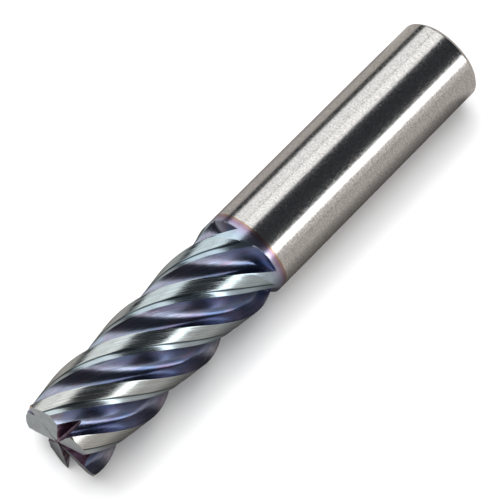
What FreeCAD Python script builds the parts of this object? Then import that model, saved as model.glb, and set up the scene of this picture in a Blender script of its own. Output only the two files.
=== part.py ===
"""Five-flute solid carbide end mill, half inch, lying on its side.

The tool axis is parallel to X, with the cutting end at -X and the plain shank at +X. The tool rests on the
plane z = 0, and the origin is under the middle of its length. Lengths are in millimetres, angles in degrees.
A place around the tooth pitch is an angle measured back from the cutting edge, against the cutting direction.
"""
import FreeCAD, Part
import math
import os

# Blank
diameter = 12.7
overall_length = 76.2
shank_chamfer = 0.6
corner_chamfer = 0.3
coated_length = 36.8            # cutting end to the bare shank

# Flutes
flute_count = 5
helix_angle = 38.5              # right-hand helix, right-hand cut
cut_length = 31.75              # full-depth flutes
flute_end = 35.6                # where the flutes have run out
neck_relief = 0.03              # the run-out is this much under size where it meets the full flutes
relief_rise = 0.13              # of the radius, over the run-out
relief_runout_power = 2
flute_rise = 0.50
flute_runout_power = 6
first_edge_angle = 40.9         # from +Y towards +Z, at the cutting end

# Tooth section: lands behind the edge, as angles back from it and radii as parts of the tool radius
margin_angle = 0.4
land_angle = 21.0
land_relief = 9.5
step_angle = 23.5
step_radius = 0.922
heel_angle = 31.0
heel_radius = 0.905

# Flute curve between the heel and the next edge: wall directions from the radius, and curve handles
rake_angle = 12.0
rake_handle = 0.45
back_angle = 25.0
back_handle = 0.35
web_radius = 0.66               # the web that the teeth stand on

# End teeth
dish_angle = 1.5
end_relief = 9.0
gash_start = 0.4                # from the axis
gash_start_depth = 0.3
gash_floor = 0.3
gash_slope = 36.0
gash_open_angle = 35.0
centre_radius = 0.55            # hollow where the end edges would meet
centre_depth = 0.35

radius = diameter / 2
pitch = 360 / flute_count
twist_rate = math.degrees(math.tan(math.radians(helix_angle)) / radius)   # degrees per mm
cap_radius = 1.6 * radius
clear = 1.5                     # how far cutters run past the blank
seam_angle = 30.0

# Cutters
tolerance = 1e-6                # for picking edges and solids by place
flute_sections = 24             # sections of the loft along the full flutes
runout_sections = 14
runout_overrun = 0.15           # the run-out loft ends this far past flute_end
end_reach = 3 * radius          # end cutters reach well outside the blank
gash_reach = 1.2 * radius
tooth_middle = 0.85 * radius    # a radius that lies inside every tooth


def polar(r, angle, x=0.0):
    """A point at radius r and angle in the plane at x."""
    a = math.radians(angle)
    return FreeCAD.Vector(x, r * math.cos(a), r * math.sin(a))


def from_wall(r, angle, wall_angle, handle, x):
    """The handle of the flute curve: inward from the point at r and angle, turned by wall_angle."""
    a = math.radians(angle)
    w = math.radians(wall_angle)
    inward = FreeCAD.Vector(0, -math.cos(a), -math.sin(a))
    around = FreeCAD.Vector(0, -math.sin(a), math.cos(a))
    return polar(r, angle, x) + inward * (handle * math.cos(w)) + around * (handle * math.sin(w))


def raised(point, lift):
    """The point moved away from the axis by lift."""
    out = FreeCAD.Vector(0, point.y, point.z)
    return point + out * (lift / out.Length)


def runout_lift(x, depth, power):
    """How far a ground surface has risen at x, where the wheel leaves the blank."""
    travel = max(0.0, x - cut_length) / (flute_end - cut_length)
    return depth * travel ** power


def cutter_section(x):
    """Closed outline of what is ground away between two cutting edges, in the plane at x."""
    relief_lift = runout_lift(x, relief_rise * radius, relief_runout_power)
    flute_lift = runout_lift(x, flute_rise * radius, flute_runout_power)
    margin = polar(radius + relief_lift, margin_angle, x)
    land_fall = math.tan(math.radians(land_relief)) * math.radians(land_angle - margin_angle)
    land_end = polar(radius * (1 - land_fall) + relief_lift, land_angle, x)
    land_middle = polar(radius * (1 - land_fall / 2) + relief_lift, (land_angle + margin_angle) / 2, x)
    step = polar(radius * step_radius + relief_lift, step_angle, x)
    heel = polar(radius * heel_radius + relief_lift, heel_angle, x)
    edge = polar(radius, pitch, x)
    back = from_wall(radius * heel_radius, heel_angle, back_angle, back_handle * radius, x)
    rake = from_wall(radius, pitch, rake_angle, rake_handle * radius, x)
    flute = Part.BezierCurve()
    flute.setPoles([heel, raised(back, flute_lift), raised(rake, flute_lift), edge])
    cap_start = polar(cap_radius, pitch, x)
    cap_middle = polar(cap_radius, (pitch + margin_angle) / 2, x)
    cap_end = polar(cap_radius, margin_angle, x)
    edges = [
        Part.Arc(margin, land_middle, land_end).toShape(),
        Part.LineSegment(land_end, step).toShape(),
        Part.LineSegment(step, heel).toShape(),
        flute.toShape(),
        Part.LineSegment(edge, cap_start).toShape(),
        Part.Arc(cap_start, cap_middle, cap_end).toShape(),
        Part.LineSegment(cap_end, margin).toShape(),
    ]
    wire = Part.Wire(edges)
    wire.rotate(FreeCAD.Vector(), FreeCAD.Vector(1, 0, 0), first_edge_angle + twist_rate * x)
    return wire


def flute_cutter(start, end, steps):
    """One helical cutter from start to end along the axis, through evenly spaced sections."""
    stations = [start + (end - start) * i / steps for i in range(steps + 1)]
    return Part.makeLoft([cutter_section(x) for x in stations], True, False)


def prism_along(points, start, direction):
    """A prism with the given outline, swept from start along direction."""
    face = Part.Face(Part.makePolygon(points + points[:1]))
    face.translate(start)
    return face.extrude(direction)


def end_flank_cutter():
    """What is ground off the end of one tooth behind its end edge, with the tooth's own edge along +Y."""
    corner_y = radius - corner_chamfer
    width = diameter
    outline = [
        FreeCAD.Vector(-clear, 0, 0),
        FreeCAD.Vector(0, 0, 0),
        FreeCAD.Vector(width * math.tan(math.radians(end_relief)), 0, width),
        FreeCAD.Vector(-clear, 0, width),
    ]
    dish = math.tan(math.radians(dish_angle))
    inner = FreeCAD.Vector(dish * (corner_y + radius), -radius, 0)
    outer = FreeCAD.Vector(-dish * clear, corner_y + clear, 0)
    flank = prism_along(outline, inner, outer - inner)
    sector_points = [
        FreeCAD.Vector(-clear, 0, 0),
        polar(end_reach, 0, -clear),
        polar(end_reach, pitch, -clear),
    ]
    sector = prism_along(sector_points, FreeCAD.Vector(), FreeCAD.Vector(diameter, 0, 0))
    return flank.common(sector)


def gash_cutter():
    """The notch in front of one end edge, running outwards and down into the flute."""
    open_run = (gash_start_depth + clear + radius) * math.tan(math.radians(gash_open_angle))
    top = -clear - radius
    outline = [
        FreeCAD.Vector(top, 0, 0),
        FreeCAD.Vector(gash_start_depth, 0, 0),
        FreeCAD.Vector(gash_start_depth, 0, -gash_floor),
        FreeCAD.Vector(top, 0, -gash_floor - open_run),
    ]
    start = FreeCAD.Vector(0, gash_start, 0)
    run = FreeCAD.Vector(math.tan(math.radians(gash_slope)), 1, 0) * gash_reach
    return prism_along(outline, start, run)


def around(shape):
    """Copies of the shape, one for each tooth, from the first edge's angle."""
    copies = []
    for tooth in range(flute_count):
        copy = shape.copy()
        copy.rotate(FreeCAD.Vector(), FreeCAD.Vector(1, 0, 0), tooth * pitch)
        copies.append(copy)
    return copies


def cylinder(start, end, r=radius):
    """A round bar on the tool axis from start to end, its seam turned clear of the cutters' edges."""
    bar = Part.makeCylinder(r, end - start, FreeCAD.Vector(start, 0, 0), FreeCAD.Vector(1, 0, 0))
    bar.rotate(FreeCAD.Vector(), FreeCAD.Vector(1, 0, 0), seam_angle)
    return bar


def ground(blank, cutters):
    """The blank with the cutters taken out one after another."""
    for cutter in cutters:
        blank = blank.cut(cutter)
    return blank


def fluted_length():
    """The full-depth length with its flutes, reliefs, end flanks and gashes ground in."""
    blank = cylinder(0, cut_length)
    tip_edges = [e for e in blank.Edges if e.BoundBox.XMax < tolerance]
    blank = blank.makeChamfer(corner_chamfer, tip_edges)
    cutters = around(flute_cutter(-clear, cut_length + clear, flute_sections))
    for cutter in (end_flank_cutter(), gash_cutter()):
        cutter.rotate(FreeCAD.Vector(), FreeCAD.Vector(1, 0, 0), first_edge_angle)
        cutters += around(cutter)
    cutters.append(cylinder(-clear, centre_depth, centre_radius))
    return ground(blank, cutters)


def flute_runout():
    """The length where the flutes rise out of the blank, eased from under size up to the shank."""
    along = FreeCAD.Vector(1, 0, 0)
    length = coated_length - cut_length
    blank = Part.makeCone(radius - neck_relief, radius, length, FreeCAD.Vector(cut_length, 0, 0), along)
    blank.rotate(FreeCAD.Vector(), along, seam_angle)
    cutter = flute_cutter(cut_length - clear, flute_end + runout_overrun, runout_sections)
    return ground(blank, around(cutter))


def teeth_of(fluted):
    """The five teeth that stand on the web, in the order of their edges."""
    solids = fluted.cut(cylinder(-clear, cut_length + clear, web_radius * radius)).Solids
    half_way = cut_length / 2
    teeth = []
    for tooth in range(flute_count):
        angle = first_edge_angle + tooth * pitch + twist_rate * half_way + land_angle / 2
        inside = polar(tooth_middle, angle, half_way)
        teeth.append(next(s for s in solids if s.isInside(inside, tolerance, False)))
    return teeth


def shank():
    """The plain round shank, chamfered at its rear."""
    bar = cylinder(coated_length, overall_length)
    rear_edges = [e for e in bar.Edges if e.BoundBox.XMin > overall_length - tolerance]
    return bar.makeChamfer(shank_chamfer, rear_edges)


def write(name, shape):
    """Move the shape onto the rest plane, check it and export it."""
    placed = shape.copy()
    placed.translate(FreeCAD.Vector(-overall_length / 2, 0, radius))
    box = placed.BoundBox
    print(name, "valid", placed.isValid(), "solids", len(placed.Solids), "volume", round(placed.Volume, 2),
          "x", round(box.XMin, 2), round(box.XMax, 2))
    placed.exportStep(os.path.join("parts", name + ".step"))


def main():
    os.makedirs("parts", exist_ok=True)
    fluted = fluted_length()
    write("shank", shank())
    write("flute_runout", flute_runout())
    write("web_core", fluted.common(cylinder(-clear, cut_length + clear, web_radius * radius)))
    for number, tooth in enumerate(teeth_of(fluted), start=1):
        write("tooth_%d" % number, tooth)


main()
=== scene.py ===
"""Five-flute solid carbide end mill lying on a pale floor, seen from above its cutting end.

The tool axis is parallel to X with the cutting end at -X. Lengths are in metres unless a name says otherwise.
A place around the tooth pitch is an angle in degrees measured back from the cutting edge.
"""
import math

import bmesh
import bpy
from mathutils import Matrix, Vector


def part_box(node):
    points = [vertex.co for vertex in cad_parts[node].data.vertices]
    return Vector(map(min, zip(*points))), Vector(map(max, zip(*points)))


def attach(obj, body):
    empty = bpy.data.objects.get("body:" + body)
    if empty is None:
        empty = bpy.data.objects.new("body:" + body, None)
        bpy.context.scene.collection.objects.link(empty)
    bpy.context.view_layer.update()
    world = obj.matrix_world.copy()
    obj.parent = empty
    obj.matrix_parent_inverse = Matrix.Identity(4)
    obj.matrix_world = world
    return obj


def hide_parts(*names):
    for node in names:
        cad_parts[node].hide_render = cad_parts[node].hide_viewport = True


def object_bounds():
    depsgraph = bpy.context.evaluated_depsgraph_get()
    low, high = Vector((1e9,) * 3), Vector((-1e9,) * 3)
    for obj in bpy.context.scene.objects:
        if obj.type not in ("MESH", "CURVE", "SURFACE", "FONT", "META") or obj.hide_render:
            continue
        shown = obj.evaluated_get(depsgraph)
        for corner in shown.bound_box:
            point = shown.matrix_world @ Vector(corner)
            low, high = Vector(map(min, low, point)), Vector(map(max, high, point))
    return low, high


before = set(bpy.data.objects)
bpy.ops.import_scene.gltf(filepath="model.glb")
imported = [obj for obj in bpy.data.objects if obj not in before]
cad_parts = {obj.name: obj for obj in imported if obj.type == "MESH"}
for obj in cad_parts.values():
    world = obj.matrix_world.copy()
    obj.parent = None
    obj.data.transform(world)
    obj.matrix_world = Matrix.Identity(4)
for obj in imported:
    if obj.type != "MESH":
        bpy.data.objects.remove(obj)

MM = 0.001
CUT_SCALE = 1000                # the Boolean loses faces on a part this small, so cuts are made enlarged

# The blank, from the frame
cad_low, cad_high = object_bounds()
radius = (cad_high.z - cad_low.z) / 2
tip = Vector((cad_low.x, 0, radius))
overall_length = cad_high.x - cad_low.x
cut_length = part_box("web_core")[1].x - tip.x
coated_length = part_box("flute_runout")[1].x - tip.x
shank_chamfer = 0.6 * MM
corner_chamfer = 0.3 * MM

# Flutes
flute_count = 5
pitch = 360 / flute_count
helix_angle = 38.5
flute_end = 35.6 * MM           # where the flutes have run out
first_edge_angle = 40.9         # from +Y towards +Z, at the cutting end
relief_rise = 0.13              # of the radius, over the run-out
relief_runout_power = 2
flute_rise = 0.50
flute_runout_power = 6
most_travel = 1.3               # the rise stops growing this far along the run-out, as a part of its length
twist_rate = math.degrees(math.tan(math.radians(helix_angle)) / radius)   # degrees per metre

# Tooth section: lands behind the edge, as angles back from it and radii as parts of the tool radius
margin_angle = 0.4
land_angle = 21.0
land_relief = 9.5
step_angle = 23.5
step_radius = 0.922
heel_angle = 31.0
heel_radius = 0.905

# Flute curve between the heel and the next edge: wall directions from the radius, and curve handles
rake_angle = 12.0
rake_handle = 0.45
back_angle = 25.0
back_handle = 0.35

# End teeth
dish_angle = 1.5
end_relief = 9.0
gash_start = 0.4 * MM           # from the axis
gash_start_depth = 0.3 * MM
gash_floor = 0.3 * MM
gash_slope = 36.0
gash_open_angle = 35.0
centre_radius = 0.55 * MM       # hollow where the end edges would meet
centre_depth = 0.35 * MM

# Cutters for the end, which is cut from a skin that is longer than the tool at the front
end_overrun = 0.5 * MM
end_piece_length = 5.0 * MM
cutter_front = -2 * end_overrun
cutter_clearance = 1 * MM
gash_wall = 0.01 * MM           # the gash starts this far behind the edge, which leaves no sliver
gash_reach = 1.2 * radius
flank_reach = 1.5 * radius

# Mesh fineness
land_steps = 14
band_steps = 5
flute_steps = 48
round_steps = 360
centre_steps = 24
end_spacing = 0.12 * MM
flute_spacing = 0.2 * MM
runout_spacing = 0.06 * MM
shank_spacing = 2 * MM
rounding = 1e-6                 # of one step, so that an exact number of steps isn't rounded up
weld_distance = 0.002 * MM
plane_tolerance = 1e-7
body_sharp_angle = 22           # edges sharper than these stay crisp
shank_sharp_angle = 20

# Finish
shank_ease = 0.08 * MM          # rounding of the rear chamfer's edges
fade_start = 34.3 * MM          # the coating fades from here to coated_length
grinding_depth = 0.00002        # bump distances
grain_depth = 0.00001

# Camera, by its place round the tool
camera_azimuth = -48.5
camera_elevation = 62.5
camera_distance = 55.03 * radius
tip_left_of_centre = 3.832 * radius
tip_below_centre = 3.846 * radius
camera_lens_mm = 199.2

# Lights, by the direction they lie in round the tool, from +Y towards +Z
light_distance = 0.6
light_length = 1.8
light_shift = 0.21              # along the tool, towards the shank
card_colour = (1.0, 0.93, 0.89)
fill_size = 1.6
fill_energy = 20.5
fill_place = (0, 0.3, 1.3)
room_colour = (0.034, 0.037, 0.043)

# Floor, and the glowing card under it that reflections see in its place: a painted reflection of the floor,
# with the tool's shadow painted on it
floor_size = 1.5
card_drop = 1 * MM
card_fade = 3 * radius          # the card reaches its full brightness this far from the tool
card_end_gain = 8.0             # and this many times sooner beyond the tool's ends
# The card's glow next to the tool, dimmed as a painted shadow, and its full glow away from the tool
card_painted_shadow = 0.10
card_bright = 0.58

# Kinds of surface, in the order of the ground body's materials
LAND, STEP, BAND, FLUTE, END, NECK, GASH, CORNER = range(8)


def turned(r, angle, x):
    """A point at radius r and angle round the tool axis, x along it from the cutting end."""
    a = math.radians(angle)
    return Vector((tip.x + x, r * math.cos(a), tip.z + r * math.sin(a)))


def flat(r, angle):
    """A point of the tooth section, in its own plane."""
    a = math.radians(angle)
    return Vector((r * math.cos(a), r * math.sin(a)))


def from_wall(r, angle, wall_angle, handle, lift):
    """The handle of the flute curve: inward from the point at r and angle, then raised by lift."""
    a = math.radians(angle)
    w = math.radians(wall_angle)
    inward = Vector((-math.cos(a), -math.sin(a)))
    around = Vector((-math.sin(a), math.cos(a)))
    point = flat(r, angle) + inward * (handle * math.cos(w)) + around * (handle * math.sin(w))
    return point + point.normalized() * lift


def bezier(p0, p1, p2, p3, t):
    """The point at t on a cubic curve."""
    u = 1 - t
    return p0 * u ** 3 + p1 * (3 * u * u * t) + p2 * (3 * u * t * t) + p3 * t ** 3


def runout_lift(x, depth, power):
    """How far a ground surface has risen at x, where the wheel leaves the blank."""
    travel = max(0.0, x - cut_length) / (flute_end - cut_length)
    return depth * min(travel, most_travel) ** power


def tooth_section(x):
    """(point, kind) round one pitch of the tool at x, from one cutting edge to just before the next."""
    relief_lift = runout_lift(x, relief_rise * radius, relief_runout_power)
    flute_lift = runout_lift(x, flute_rise * radius, flute_runout_power)
    relief_slope = math.tan(math.radians(land_relief)) * math.radians(1) * radius
    points = [(flat(radius, 0), LAND)]
    for i in range(land_steps + 1):
        angle = margin_angle + (land_angle - margin_angle) * i / land_steps
        fall = relief_slope * (angle - margin_angle)
        points.append((flat(radius - fall + relief_lift, angle), LAND if i < land_steps else STEP))
    step = flat(step_radius * radius + relief_lift, step_angle)
    heel = flat(heel_radius * radius + relief_lift, heel_angle)
    for i in range(band_steps):
        points.append((step.lerp(heel, i / band_steps), BAND))
    back = from_wall(heel_radius * radius, heel_angle, back_angle, back_handle * radius, flute_lift)
    rake = from_wall(radius, pitch, rake_angle, rake_handle * radius, flute_lift)
    edge = flat(radius, pitch)
    for i in range(flute_steps):
        points.append((bezier(heel, back, rake, edge, i / flute_steps), FLUTE))
    return points


def ring(x):
    """(place, kind) all round the fluted tool at x. Past the full flutes it stays inside the blank."""
    out = []
    for tooth in range(flute_count):
        turn = first_edge_angle + tooth * pitch + twist_rate * x
        for point, kind in tooth_section(x):
            angle = math.degrees(math.atan2(point.y, point.x))
            if x > cut_length and point.length > radius:
                out.append((turned(radius, min(angle, pitch) + turn, x), NECK))
            else:
                out.append((turned(point.length, angle + turn, x), kind))
    return out


def ring_mesh(stations, cap_start):
    """A bmesh skin through the rings at the stations, closed at its end and, with cap_start, at its start.

    Its UV map "helix" holds the place in the tooth pitch, from 0 to 1, and the millimetres along the tool.
    """
    bm = bmesh.new()
    uv = bm.loops.layers.uv.new("helix")
    rows = []
    for x in stations:
        rows.append([(bm.verts.new(place), kind) for place, kind in ring(x)])
    count = len(rows[0])
    per_tooth = count // flute_count
    for a, b, x_a, x_b in zip(rows, rows[1:], stations, stations[1:]):
        for i in range(count):
            j = (i + 1) % count
            face = bm.faces.new((a[i][0], a[j][0], b[j][0], b[i][0]))
            face.material_index = NECK if NECK in (a[i][1], b[i][1]) else a[i][1]
            u = (i % per_tooth) / per_tooth
            next_u = (i % per_tooth + 1) / per_tooth
            corners = ((u, x_a), (next_u, x_a), (next_u, x_b), (u, x_b))
            for loop, (place_in_pitch, x) in zip(face.loops, corners):
                loop[uv].uv = (place_in_pitch, x / MM)
    if cap_start:
        bm.faces.new([v for v, _ in reversed(rows[0])]).material_index = END
    bm.faces.new([v for v, _ in rows[-1]]).material_index = END
    return bm


def spaced(start, end, step):
    """Even stations from start to end, no further apart than step."""
    count = max(1, math.ceil((end - start) / step - rounding))
    return [start + (end - start) * i / count for i in range(count + 1)]


def new_object(name, bm, materials):
    """An object from a bmesh, in the scene, with its materials."""
    mesh = bpy.data.meshes.new(name)
    bm.to_mesh(mesh)
    bm.free()
    for material in materials:
        mesh.materials.append(material)
    obj = bpy.data.objects.new(name, mesh)
    bpy.context.scene.collection.objects.link(obj)
    return obj


def hull_object(name, corners, kind):
    """A convex cutter through the given corners, which leaves surfaces of the given kind."""
    bm = bmesh.new()
    for corner in corners:
        bm.verts.new(corner)
    bmesh.ops.convex_hull(bm, input=bm.verts)
    bmesh.ops.recalc_face_normals(bm, faces=bm.faces)
    for face in bm.faces:
        face.material_index = kind
    return new_object(name, bm, [])


def tooth_place(tooth, x, along, behind):
    """A place from a tooth's own end edge: x along the tool, distance out along the edge, distance behind."""
    a = math.radians(first_edge_angle + tooth * pitch)
    y = along * math.cos(a) - behind * math.sin(a)
    z = along * math.sin(a) + behind * math.cos(a)
    return Vector((tip.x + x, y, tip.z + z))


def flank_depth(along, behind):
    """How far back an end flank lies, by the distance out along its edge and behind it."""
    dish = math.tan(math.radians(dish_angle))
    relief = math.tan(math.radians(end_relief))
    return dish * (radius - corner_chamfer - along) + relief * behind


def end_flank_cutter():
    """What is ground off the end behind all the end edges: five sloping flanks that step up at each edge."""
    bm = bmesh.new()
    middle = bm.verts.new(tooth_place(0, flank_depth(0, 0), 0, 0))
    last = flat(flank_reach, pitch)
    fronts = []
    starts = []
    ends = []
    for tooth in range(flute_count):
        fronts.append(bm.verts.new(tooth_place(tooth, cutter_front, flank_reach, 0)))
        starts.append(bm.verts.new(tooth_place(tooth, flank_depth(flank_reach, 0), flank_reach, 0)))
        ends.append(bm.verts.new(tooth_place(tooth, flank_depth(last.x, last.y), last.x, last.y)))
    for tooth in range(flute_count):
        after = (tooth + 1) % flute_count
        bm.faces.new((middle, starts[tooth], ends[tooth]))
        bm.faces.new((middle, ends[tooth], starts[after]))
        bm.faces.new((starts[tooth], fronts[tooth], fronts[after], starts[after], ends[tooth]))
    bm.faces.new(list(reversed(fronts)))
    for face in bm.faces:
        face.material_index = END
    return new_object("end_flank_cutter", bm, [])


def gash_cutter(tooth):
    """The notch in front of one end edge, running outwards and down into the flute."""
    slope = math.tan(math.radians(gash_slope))
    open_rate = math.tan(math.radians(gash_open_angle))
    corners = []
    for along in (gash_start, gash_reach):
        depth = gash_start_depth + slope * (along - gash_start)
        open_width = gash_floor + open_rate * (depth - cutter_front)
        corners.append(tooth_place(tooth, cutter_front, along, gash_wall))
        corners.append(tooth_place(tooth, depth, along, gash_wall))
        corners.append(tooth_place(tooth, depth, along, -gash_floor))
        corners.append(tooth_place(tooth, cutter_front, along, -open_width))
    return hull_object("gash_cutter", corners, GASH)


def centre_cutter():
    """The small hollow where the end edges would meet."""
    corners = []
    for x in (cutter_front, centre_depth):
        corners += [turned(centre_radius, 360 * i / centre_steps, x) for i in range(centre_steps)]
    return hull_object("centre_cutter", corners, GASH)


def corner_limit():
    """A bar that is chamfered at the cutting end and stands clear of the tool behind it."""
    tip_radius = radius - corner_chamfer
    outline = [
        (cutter_front, tip_radius + cutter_front),
        (cutter_clearance, tip_radius + cutter_clearance),
        (2 * end_piece_length, tip_radius + cutter_clearance),
    ]
    corners = []
    for x, r in outline:
        corners += [turned(r, 360 * i / round_steps, x) for i in range(round_steps)]
    return hull_object("corner_limit", corners, CORNER)


def cut(obj, cutter, operation="DIFFERENCE"):
    """Combine the object with the cutter for good, and delete the cutter."""
    cutter.data.transform(Matrix.Scale(CUT_SCALE, 4))
    modifier = obj.modifiers.new("cut", "BOOLEAN")
    modifier.operation = operation
    modifier.solver = "EXACT"
    modifier.object = cutter
    depsgraph = bpy.context.evaluated_depsgraph_get()
    mesh = bpy.data.meshes.new_from_object(obj.evaluated_get(depsgraph))
    obj.modifiers.clear()
    old = obj.data
    obj.data = mesh
    bpy.data.meshes.remove(old)
    bpy.data.objects.remove(cutter)


def finish_surface(obj, sharp_angle):
    """Smooth shading that stays crisp at ground edges."""
    for polygon in obj.data.polygons:
        polygon.use_smooth = True
    obj.data.set_sharp_from_angle(angle=math.radians(sharp_angle))


def cutting_end(materials):
    """The first millimetres of the ground body: an overlong fluted bar with its end cut to shape."""
    stations = spaced(-end_overrun, end_piece_length, end_spacing)
    end = new_object("ground_body", ring_mesh(stations, True), materials)
    end.data.transform(Matrix.Scale(CUT_SCALE, 4))
    cut(end, corner_limit(), "INTERSECT")
    cut(end, end_flank_cutter())
    for tooth in range(flute_count):
        cut(end, gash_cutter(tooth))
    cut(end, centre_cutter())
    end.data.transform(Matrix.Scale(1 / CUT_SCALE, 4))
    return end


def fluted_rest():
    """A mesh of the ground body behind its cutting end, open where the two meet."""
    flutes = spaced(end_piece_length, cut_length, flute_spacing)
    runout = spaced(cut_length, coated_length, runout_spacing)
    bm = ring_mesh(flutes[:-1] + runout, False)
    mesh = bpy.data.meshes.new("rest")
    bm.to_mesh(mesh)
    bm.free()
    return mesh


def ground_body(materials):
    """The fluted, coated length of the tool as one continuous skin."""
    body = cutting_end(materials)
    rest = fluted_rest()
    whole = bmesh.new()
    whole.from_mesh(body.data)
    joint_x = tip.x + end_piece_length
    inner_cap = [f for f in whole.faces if all(abs(v.co.x - joint_x) < plane_tolerance for v in f.verts)]
    bmesh.ops.delete(whole, geom=inner_cap, context="FACES_ONLY")
    whole.from_mesh(rest)
    bmesh.ops.remove_doubles(whole, verts=whole.verts, dist=weld_distance)
    whole.to_mesh(body.data)
    whole.free()
    bpy.data.meshes.remove(rest)
    finish_surface(body, body_sharp_angle)
    return body


def shank_outline():
    """(x, radius) from the front of the shank to its rear, with eased edges at the rear chamfer."""
    chamfer_x = overall_length - shank_chamfer
    chamfer_r = radius - shank_chamfer
    slant = shank_ease * 0.7    # the same distance measured down the chamfer, in x and in radius
    outline = [(coated_length, 0), (coated_length, radius)]
    outline += [(x, radius) for x in spaced(coated_length, chamfer_x - shank_ease, shank_spacing)[1:]]
    outline += [
        (chamfer_x + slant, radius - slant),
        (overall_length - slant, chamfer_r + slant),
        (overall_length, chamfer_r - shank_ease),
        (overall_length, 0),
    ]
    return outline


def shank_body(material):
    """The plain shank, turned from its outline."""
    outline = shank_outline()
    bm = bmesh.new()
    uv = bm.loops.layers.uv.new("helix")
    rows = []
    for x, r in outline:
        if r == 0:
            rows.append([bm.verts.new(turned(0, 0, x))] * round_steps)
        else:
            rows.append([bm.verts.new(turned(r, 360 * i / round_steps, x)) for i in range(round_steps)])
    for a, b in zip(rows, rows[1:]):
        for i in range(round_steps):
            j = (i + 1) % round_steps
            corners = dict.fromkeys((a[i], a[j], b[j], b[i]))       # three of them at the axis
            face = bm.faces.new(list(corners))
            for loop in face.loops:
                loop[uv].uv = (i / round_steps, (loop.vert.co.x - tip.x) / MM)
    obj = new_object("shank_body", bm, [material])
    finish_surface(obj, shank_sharp_angle)
    return obj


class Nodes:
    """Short calls for building one material's node tree."""

    def __init__(self, name):
        self.material = bpy.data.materials.new(name)
        self.material.use_nodes = True
        self.tree = self.material.node_tree
        self.shader = self.tree.nodes["Principled BSDF"]

    def new(self, kind, **settings):
        """A new node of this kind, with its settings."""
        node = self.tree.nodes.new(kind)
        for key, value in settings.items():
            setattr(node, key, value)
        return node

    def link(self, output, socket):
        self.tree.links.new(output, socket)

    def feed(self, node, values):
        """Set or link each named input of the node."""
        for key, value in values.items():
            if isinstance(value, bpy.types.NodeSocket):
                self.link(value, node.inputs[key])
            else:
                node.inputs[key].default_value = value

    def math(self, operation, a, b=0.0):
        """The result of one sum on two numbers or sockets."""
        node = self.new("ShaderNodeMath", operation=operation)
        self.feed(node, {0: a, 1: b})
        return node.outputs[0]

    def ramp(self, value, stops):
        """A colour ramp through (position, (r, g, b)) stops."""
        node = self.new("ShaderNodeValToRGB")
        node.color_ramp.interpolation = "EASE"
        elements = node.color_ramp.elements
        while len(elements) < len(stops):
            elements.new(0.5)
        for element, (position, colour) in zip(elements, stops):
            element.position = position
            element.color = (*colour, 1)
        self.link(value, node.inputs["Fac"])
        return node.outputs["Color"]

    def mix(self, factor, a, b, blend="MIX"):
        """Colour a changed towards b, or blended with it, by the factor."""
        node = self.new("ShaderNodeMix", data_type="RGBA", blend_type=blend)
        sockets = {"Factor_Float": factor, "A_Color": a, "B_Color": b}
        for socket in node.inputs:
            if socket.identifier in sockets:
                value = sockets[socket.identifier]
                if isinstance(value, bpy.types.NodeSocket):
                    self.link(value, socket)
                elif socket.identifier == "Factor_Float":
                    socket.default_value = value
                else:
                    socket.default_value = (*value, 1)
        return next(s for s in node.outputs if s.identifier == "Result_Color")

    def position(self):
        """(u, v): place in the tooth pitch, and millimetres along the tool."""
        split = self.new("ShaderNodeSeparateXYZ")
        self.link(self.new("ShaderNodeUVMap", uv_map="helix").outputs["UV"], split.inputs[0])
        return split.outputs["X"], split.outputs["Y"]

    def streaks(self, across, along):
        """Noise with so many grains across the tooth pitch, and so many in each millimetre along the tool."""
        u, v = self.position()
        join = self.new("ShaderNodeCombineXYZ")
        self.feed(join, {"X": self.math("MULTIPLY", u, across), "Y": self.math("MULTIPLY", v, along)})
        noise = self.new("ShaderNodeTexNoise")
        self.feed(noise, {"Vector": join.outputs[0], "Scale": 1.0, "Detail": 3.0, "Roughness": 0.6})
        return noise.outputs["Fac"]

    def span(self, value, low, high, to_low, to_high):
        """The value's range from low to high, stretched to run from to_low to to_high."""
        node = self.new("ShaderNodeMapRange")
        self.feed(node, {"Value": value, "From Min": low, "From Max": high,
                         "To Min": to_low, "To Max": to_high})
        return node.outputs["Result"]

    def bump(self, height, distance, strength):
        """Relief from the height on the material's surface."""
        node = self.new("ShaderNodeBump")
        self.feed(node, {"Height": height, "Distance": distance, "Strength": strength})
        self.link(node.outputs["Normal"], self.shader.inputs["Normal"])

    def metal(self, colour, roughness, anisotropy=0.0):
        """The finished metal. Anisotropy stretches its highlights round the tool."""
        self.feed(self.shader, {"Base Color": colour, "Metallic": 1.0, "Roughness": roughness,
                                "Anisotropic": anisotropy})
        if anisotropy:
            tangent = self.new("ShaderNodeTangent", direction_type="UV_MAP", uv_map="helix")
            self.link(tangent.outputs[0], self.shader.inputs["Tangent"])
        return self.material


def along_coat(n, near, far):
    """Colour from near at the cutting end to far at the flute run-out."""
    _, v = n.position()
    return n.mix(n.span(v, 0, cut_length / MM, 0, 1), near, far)


def streaked(n, colour, across, along, low, high):
    """The colour times grinding streaks that run from low to high."""
    grey = n.span(n.streaks(across, along), 0.3, 0.7, low, high)
    join = n.new("ShaderNodeCombineColor")
    n.feed(join, {"Red": grey, "Green": grey, "Blue": grey})
    return n.mix(1.0, colour, join.outputs[0], "MULTIPLY")


def relief_material(name, near, far, shades, relief, roughness):
    """A relief ground along the helix, coloured from near at the cutting end to far at the run-out."""
    n = Nodes(name)
    colour = streaked(n, along_coat(n, near, far), 110, 0.12, *shades)
    n.bump(n.streaks(160, 0.15), grinding_depth, relief)
    return n.metal(colour, n.span(n.streaks(90, 0.12), 0.35, 0.65, *roughness), 0.4)


def land_material():
    """Primary relief: bright, bluer towards the shank."""
    near = (0.56, 0.57, 0.54)
    far = (0.45, 0.54, 0.57)
    return relief_material("ground_land", near, far, (0.78, 1.06), 0.35, (0.09, 0.31))


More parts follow.
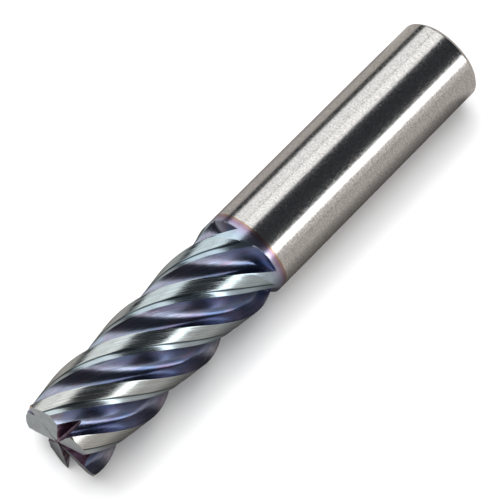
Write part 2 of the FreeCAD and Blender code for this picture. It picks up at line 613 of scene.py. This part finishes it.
def step_material():
    """The narrow step between the two reliefs: its dark colour is painted shade, because it faces away from
    the lights.
    """
    n = Nodes("relief_step")
    # painted shade: a near-black base colour along the whole step
    colour = streaked(n, along_coat(n, (0.10, 0.12, 0.12), (0.07, 0.10, 0.12)), 60, 0.15, 0.8, 1.2)
    return n.metal(colour, 0.35)


def band_material():
    """Secondary relief: light blue-grey."""
    near = (0.47, 0.53, 0.55)
    far = (0.42, 0.53, 0.60)
    return relief_material("ground_band", near, far, (0.82, 1.06), 0.3, (0.14, 0.28))


def flute_material():
    """Polished flute under the coating: grey-blue at the heel, then mauve and navy, and lilac at the edge;
    the navy's darkening across the flute's hollow is painted shade.
    """
    n = Nodes("coated_flute")
    u, _ = n.position()
    # the coating's own tints, with the darker stops from 0.36 to 0.70 through the hollow partly painted shade
    stops = [
        (0.22, (0.31, 0.40, 0.46)),
        (0.36, (0.31, 0.32, 0.40)),
        (0.52, (0.27, 0.31, 0.41)),
        (0.70, (0.12, 0.17, 0.31)),
        (0.88, (0.31, 0.34, 0.47)),
        (0.97, (0.57, 0.57, 0.67)),
    ]
    drift = n.math("MULTIPLY", n.math("SUBTRACT", n.streaks(3, 0.12), 0.5), 0.35)
    colour = n.ramp(n.math("ADD", u, drift), stops)
    warm = n.span(n.streaks(5, 0.2), 0.50, 0.72, 0, 0.65)
    colour = n.mix(warm, colour, (0.33, 0.22, 0.31))
    colour = streaked(n, colour, 70, 0.12, 0.75, 1.15)
    n.bump(n.streaks(110, 0.2), grinding_depth, 0.35)
    return n.metal(colour, n.span(n.streaks(50, 0.15), 0.3, 0.7, 0.14, 0.27), 0.3)


def noisy(n, low, high):
    """A colour that drifts between low and high over fine grain, which also gives the bump."""
    place = n.new("ShaderNodeTexCoord").outputs["Object"]
    noise = n.new("ShaderNodeTexNoise")
    n.feed(noise, {"Vector": place, "Scale": 900.0, "Detail": 3.0})
    n.bump(noise.outputs["Fac"], grain_depth, 0.2)
    return n.ramp(noise.outputs["Fac"], [(0.35, low), (0.65, high)])


def end_material():
    """End flanks: even grey."""
    n = Nodes("ground_end")
    return n.metal(noisy(n, (0.41, 0.48, 0.52), (0.49, 0.56, 0.59)), 0.28)


def gash_material():
    """Gashes and the hollow at the centre: the coating's maroon tint, darkened as painted shade of these
    recesses, mixed at random with lilac over fine grain.
    """
    n = Nodes("ground_gash")
    # painted shade: the dark maroon base of the recesses, flecked with lilac by noise
    return n.metal(noisy(n, (0.17, 0.10, 0.13), (0.36, 0.28, 0.38)), 0.3)


def corner_material():
    """Corner chamfers, rubbed through to a warm gold."""
    n = Nodes("ground_corner")
    return n.metal(noisy(n, (0.58, 0.47, 0.38), (0.68, 0.58, 0.48)), 0.3)


def neck_material():
    """Outside of the run-out: pale blue, then the coating's lilac, purple, gold and bare edge."""
    n = Nodes("coating_edge")
    _, v = n.position()
    drift = n.math("MULTIPLY", n.math("SUBTRACT", n.streaks(6, 0.3), 0.5), 0.5)
    place = n.span(n.math("ADD", v, drift), fade_start / MM, coated_length / MM, 0, 1)
    stops = [
        (0.00, (0.44, 0.55, 0.62)),
        (0.30, (0.41, 0.48, 0.60)),
        (0.55, (0.40, 0.40, 0.54)),
        (0.82, (0.34, 0.24, 0.33)),
        (0.96, (0.41, 0.27, 0.18)),
        (1.00, (0.52, 0.47, 0.42)),
    ]
    n.bump(n.streaks(160, 0.2), grinding_depth, 0.2)
    return n.metal(n.ramp(place, stops), 0.2, 0.3)


def shank_material():
    """Bare centreless-ground carbide: fine rings round the shank and a speckle of dull grains."""
    n = Nodes("bare_carbide")
    place = n.new("ShaderNodeTexCoord").outputs["Object"]
    grain = n.new("ShaderNodeTexNoise")
    n.feed(grain, {"Vector": place, "Scale": 4200.0, "Detail": 3.0, "Roughness": 0.65})
    speckle = grain.outputs["Fac"]
    rings = n.streaks(3, 9.0)
    colour = n.ramp(speckle, [(0.32, (0.49, 0.48, 0.46)), (0.66, (0.68, 0.67, 0.65))])
    colour = streaked(n, colour, 3, 6.0, 0.92, 1.05)
    height = n.math("ADD", speckle, n.math("MULTIPLY", rings, 0.5))
    n.bump(height, grinding_depth, 0.035)
    dull = n.span(speckle, 0.30, 0.75, 0.01, 0.15)
    return n.metal(colour, n.math("ADD", n.span(rings, 0.3, 0.7, 0.10, 0.14), dull), 0.3)


def floor():
    """A plain pale floor, which reflections don't see."""
    bm = bmesh.new()
    bmesh.ops.create_grid(bm, size=floor_size)
    n = Nodes("pale_floor")
    n.feed(n.shader, {"Base Color": (0.9, 0.9, 0.9, 1), "Roughness": 0.7})
    obj = new_object("floor", bm, [n.material])
    obj.visible_glossy = False


def reflected_floor():
    """A glowing card under the floor that only reflections see: a painted reflection of the floor, dimmed
    near the tool where its shadow lies, as a painted shadow.
    """
    bm = bmesh.new()
    bmesh.ops.create_grid(bm, size=floor_size)
    n = Nodes("painted_floor_reflection")
    split = n.new("ShaderNodeSeparateXYZ")
    n.link(n.new("ShaderNodeTexCoord").outputs["Object"], split.inputs[0])
    beside = n.math("SUBTRACT", n.math("ABSOLUTE", split.outputs["Y"]), radius)
    beyond = n.math("SUBTRACT", n.math("ABSOLUTE", split.outputs["X"]), overall_length / 2)
    away = n.math("MAXIMUM", beside, n.math("MULTIPLY", beyond, card_end_gain))
    # painted shadow: the glow is dimmest next to the tool and rises to full brightness away from it
    brightness = n.span(away, 0, card_fade, card_painted_shadow, card_bright)
    n.feed(n.shader, {"Base Color": (0, 0, 0, 1), "Roughness": 1.0, "Specular IOR Level": 0.0,
                      "Emission Color": (*card_colour, 1), "Emission Strength": brightness})
    obj = new_object("reflected_floor", bm, [n.material])
    obj.location.z = -card_drop
    obj.visible_camera = False
    obj.visible_diffuse = False
    obj.visible_shadow = False


def basis(x, y, z):
    """A rotation whose columns are the given axes."""
    return Matrix((x, y, z)).transposed().to_4x4()


def soft_light(name, low_angle, high_angle, radiance, colour=(1, 1, 1)):
    """A long flat light beside the tool that fills the directions between two angles."""
    middle = math.radians((low_angle + high_angle) / 2)
    width = 2 * light_distance * math.tan(math.radians(high_angle - low_angle) / 2)
    light = bpy.data.lights.new(name, "AREA")
    light.shape = "RECTANGLE"
    light.size = light_length
    light.size_y = width
    light.energy = radiance * math.pi * light_length * width
    light.color = colour
    obj = bpy.data.objects.new(name, light)
    bpy.context.scene.collection.objects.link(obj)
    out = Vector((0, math.cos(middle), math.sin(middle)))
    along = Vector((1, 0, 0))
    obj.matrix_world = basis(along, out.cross(along), out)
    obj.matrix_world.translation = Vector((light_shift, 0, radius)) + out * light_distance


def floor_fill():
    """A round light overhead that reflections don't see."""
    light = bpy.data.lights.new("floor_fill", "AREA")
    light.shape = "DISK"
    light.size = fill_size
    light.energy = fill_energy
    obj = bpy.data.objects.new("floor_fill", light)
    bpy.context.scene.collection.objects.link(obj)
    obj.location = fill_place
    obj.visible_glossy = False
    obj.visible_camera = False


def room():
    """The dim room round the lights."""
    world = bpy.data.worlds.new("studio")
    world.use_nodes = True
    world.node_tree.nodes["Background"].inputs["Color"].default_value = (*room_colour, 1)
    bpy.context.scene.world = world


def lights():
    """A softbox in two halves on one side, a narrow strip and a low reflector on the other, and the fill."""
    soft_light("softbox_low", 18, 48.5, 1.22)
    soft_light("softbox_high", 50, 75, 1.42)
    soft_light("strip", 140, 158, 3.0)
    soft_light("low_reflector", 158, 179, 0.68, card_colour)
    floor_fill()
    room()


def camera():
    """A long lens above the cutting end, with the tool running away to the upper right."""
    azimuth = math.radians(camera_azimuth)
    elevation = math.radians(camera_elevation)
    right = Vector((math.cos(azimuth), math.sin(azimuth), 0))
    level = Vector((-math.sin(azimuth), math.cos(azimuth), 0))
    forward = level * math.cos(elevation) - Vector((0, 0, math.sin(elevation)))
    up = right.cross(forward)
    data = bpy.data.cameras.new("camera")
    data.lens = camera_lens_mm
    data.clip_start = 0.01
    data.clip_end = 10
    obj = bpy.data.objects.new("camera", data)
    bpy.context.scene.collection.objects.link(obj)
    obj.matrix_world = basis(right, up, -forward)
    middle = tip + right * tip_left_of_centre + up * tip_below_centre
    obj.matrix_world.translation = middle - forward * camera_distance
    bpy.context.scene.camera = obj


def main():
    camera()
    lights()
    floor()
    reflected_floor()
    materials = [
        land_material(),
        step_material(),
        band_material(),
        flute_material(),
        end_material(),
        neck_material(),
        gash_material(),
        corner_material(),
    ]
    body = ground_body(materials)
    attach(body, "root")
    teeth = ["tooth_%d" % (i + 1) for i in range(flute_count)]
    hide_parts("web_core", "flute_runout", *teeth)
    shank = shank_body(shank_material())
    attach(shank, "root")
    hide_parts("shank")
    bpy.context.scene.view_settings.view_transform = "Standard"
    bpy.context.view_layer.update()


main()
